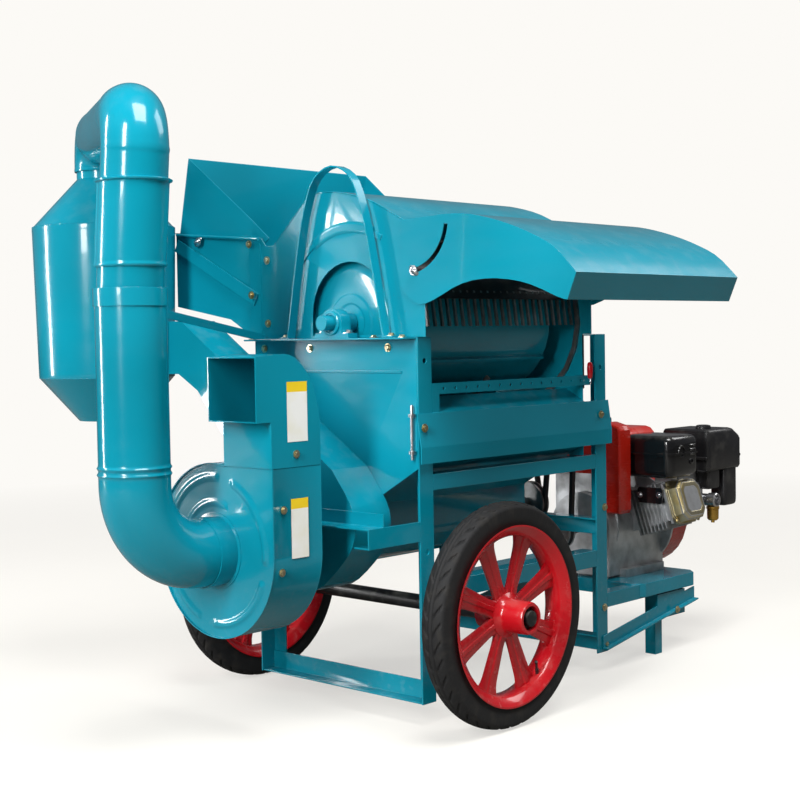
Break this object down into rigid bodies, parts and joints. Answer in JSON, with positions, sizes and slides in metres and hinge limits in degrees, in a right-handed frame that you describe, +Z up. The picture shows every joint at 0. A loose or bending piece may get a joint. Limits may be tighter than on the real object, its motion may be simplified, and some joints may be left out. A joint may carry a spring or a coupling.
{
  "type": "threshing machine",
  "caption": "Wheeled threshing machine: feed hopper, drum under an arched cover, outlet hood, suction fan with riser pipe, cyclone and belt drive from a petrol engine.",
  "frame": {"origin": "on the ground under the middle of the machine's outline", "axes": "+X towards the outlet hood, +Y along the drum towards the engine, +Z up"},
  "size_m": [1.202, 1.5944, 1.1594],
  "materials": {
    "teal_enamel": "gloss",
    "red_enamel": "gloss",
    "black_enamel": "satin",
    "bare_steel": "worn",
    "tyre_rubber": "matte",
    "belt_rubber": "matte",
    "cast_alloy": "cast",
    "orange_enamel": "gloss",
    "black_plastic": "satin"
  },
  "bodies": {
    "machine": {"post_front_right": "teal_enamel", "post_front_left": "teal_enamel", "post_rear_right": "teal_enamel", "post_rear_left": "teal_enamel", "top_rail_front": "teal_enamel", "top_rail_rear": "teal_enamel", "top_rail_left": "teal_enamel", "side_rail_right": "teal_enamel", "side_rail_left": "teal_enamel", "lower_rail_right": "teal_enamel", "lower_rail_left": "teal_enamel", "bottom_rail_front": "teal_enamel", "bottom_rail_rear": "teal_enamel", "rear_cross_rail": "teal_enamel", "fan_bracket": "teal_enamel", "end_wall_front": "teal_enamel", "end_wall_rear": "teal_enamel", "drum_cover": "teal_enamel", "drum_bearing_front": "teal_enamel", "drum_bearing_rear": "teal_enamel", "bearing_guard": "teal_enamel", "hopper_tray": "teal_enamel", "hopper_stay_front": "teal_enamel", "hopper_stay_rear": "teal_enamel", "outlet_chute": "teal_enamel", "grain_funnel": "teal_enamel", "suction_scroll": "teal_enamel", "outlet_elbow": "teal_enamel", "thrower_scroll": "teal_enamel", "throw_duct": "teal_enamel", "cyclone": "teal_enamel", "suction_pipe": "teal_enamel", "gooseneck": "teal_enamel", "pipe_clamp": "teal_enamel", "engine_tray": "teal_enamel", "tray_prop_right": "teal_enamel", "tray_prop_left": "teal_enamel", "axle": "black_enamel", "muffler": "black_enamel", "concave_grate": "bare_steel", "fan_belt": "belt_rubber", "main_belt": "belt_rubber", "engine_block": "cast_alloy", "fuel_tank": "orange_enamel", "recoil_housing": "orange_enamel", "air_filter": "black_plastic"},
    "drum": {"threshing_drum": "teal_enamel", "drum_pulley": "bare_steel"},
    "rotor": {"auger_shaft": "bare_steel", "suction_wheel": "bare_steel", "thrower_wheel": "bare_steel"},
    "crank": {"crank_pulley": "bare_steel"},
    "right_wheel": {"wheel_rim_right": "red_enamel", "tyre_right": "tyre_rubber"},
    "left_wheel": {"wheel_rim_left": "red_enamel", "tyre_left": "tyre_rubber"},
    "outlet_hood": {"hood": "teal_enamel"},
    "hopper_leaf": {"hopper_top": "teal_enamel"},
    "lever": {"outlet_lever": "red_enamel"},
    "cap": {"fuel_cap": "black_plastic"}
  },
  "joints": [
    {"name": "drum_spin", "type": "hinge", "parent": "machine", "child": "drum", "pos_m": [0.068, -0.02775, 0.7265], "axis": [0, 1, 0], "continuous": true},
    {"name": "rotor_spin", "type": "hinge", "parent": "machine", "child": "rotor", "pos_m": [0.0365, -0.12775, 0.3345], "axis": [0, 1, 0], "continuous": true},
    {"name": "crank_spin", "type": "hinge", "parent": "machine", "child": "crank", "pos_m": [0.098, 0.36225, 0.2725], "axis": [0, 1, 0], "continuous": true},
    {"name": "right_wheel_roll", "type": "hinge", "parent": "machine", "child": "right_wheel", "pos_m": [0.363, -0.17975, 0.2025], "axis": [1, 0, 0], "continuous": true},
    {"name": "left_wheel_roll", "type": "hinge", "parent": "machine", "child": "left_wheel", "pos_m": [-0.29, -0.17975, 0.2025], "axis": [1, 0, 0], "continuous": true},
    {"name": "hood_swing", "type": "hinge", "parent": "machine", "child": "outlet_hood", "pos_m": [0.233, -0.02775, 0.9075], "axis": [0, 1, 0], "range_deg": [0, 38]},
    {"name": "hopper_fold", "type": "hinge", "parent": "machine", "child": "hopper_leaf", "pos_m": [-0.183, -0.02775, 0.8855], "axis": [0, 1, 0], "range_deg": [-12, 15]},
    {"name": "lever_turn", "type": "hinge", "parent": "machine", "child": "lever", "pos_m": [0.2603, 0.23125, 0.6025], "axis": [1, 0, 0], "range_deg": [-40, 40]},
    {"name": "cap_turn", "type": "hinge", "parent": "machine", "child": "cap", "pos_m": [0.071, 0.52475, 0.5005], "axis": [0, 0, 1], "range_deg": [0, 90]}
  ],
  "couplings": [
    {"joint": "rotor_spin", "follows": "drum_spin", "ratio": 1.2381},
    {"joint": "crank_spin", "follows": "drum_spin", "ratio": 2.4706}
  ]
}
